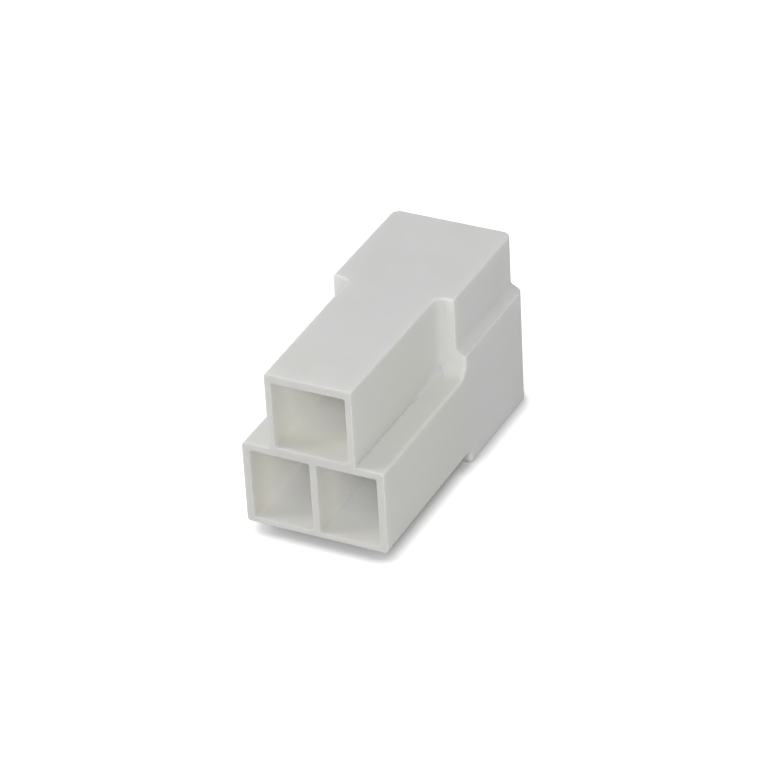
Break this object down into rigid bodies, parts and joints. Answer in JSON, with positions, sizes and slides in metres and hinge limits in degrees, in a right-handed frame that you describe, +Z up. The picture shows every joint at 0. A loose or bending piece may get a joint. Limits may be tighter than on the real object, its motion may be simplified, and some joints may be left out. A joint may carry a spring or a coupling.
{
  "type": "spade connector housing",
  "caption": "Moulded T-shaped insulating housing with open cells for wires' spade terminals at one end and a wider hood for the mating connector at the other",
  "frame": {"origin": "Middle of the footprint, on the plane that the hood's underside stands on", "axes": "X across, to the right seen from the wire side. Y along the length, from the wire side to the hood's mouth. Z up, through the single cell on top"},
  "size_m": [0.0158, 0.034, 0.02],
  "materials": {
    "nylon": "natural milky nylon, as moulded, satin"
  },
  "bodies": {
    "root": {"housing": "nylon"}
  },
  "joints": []
}
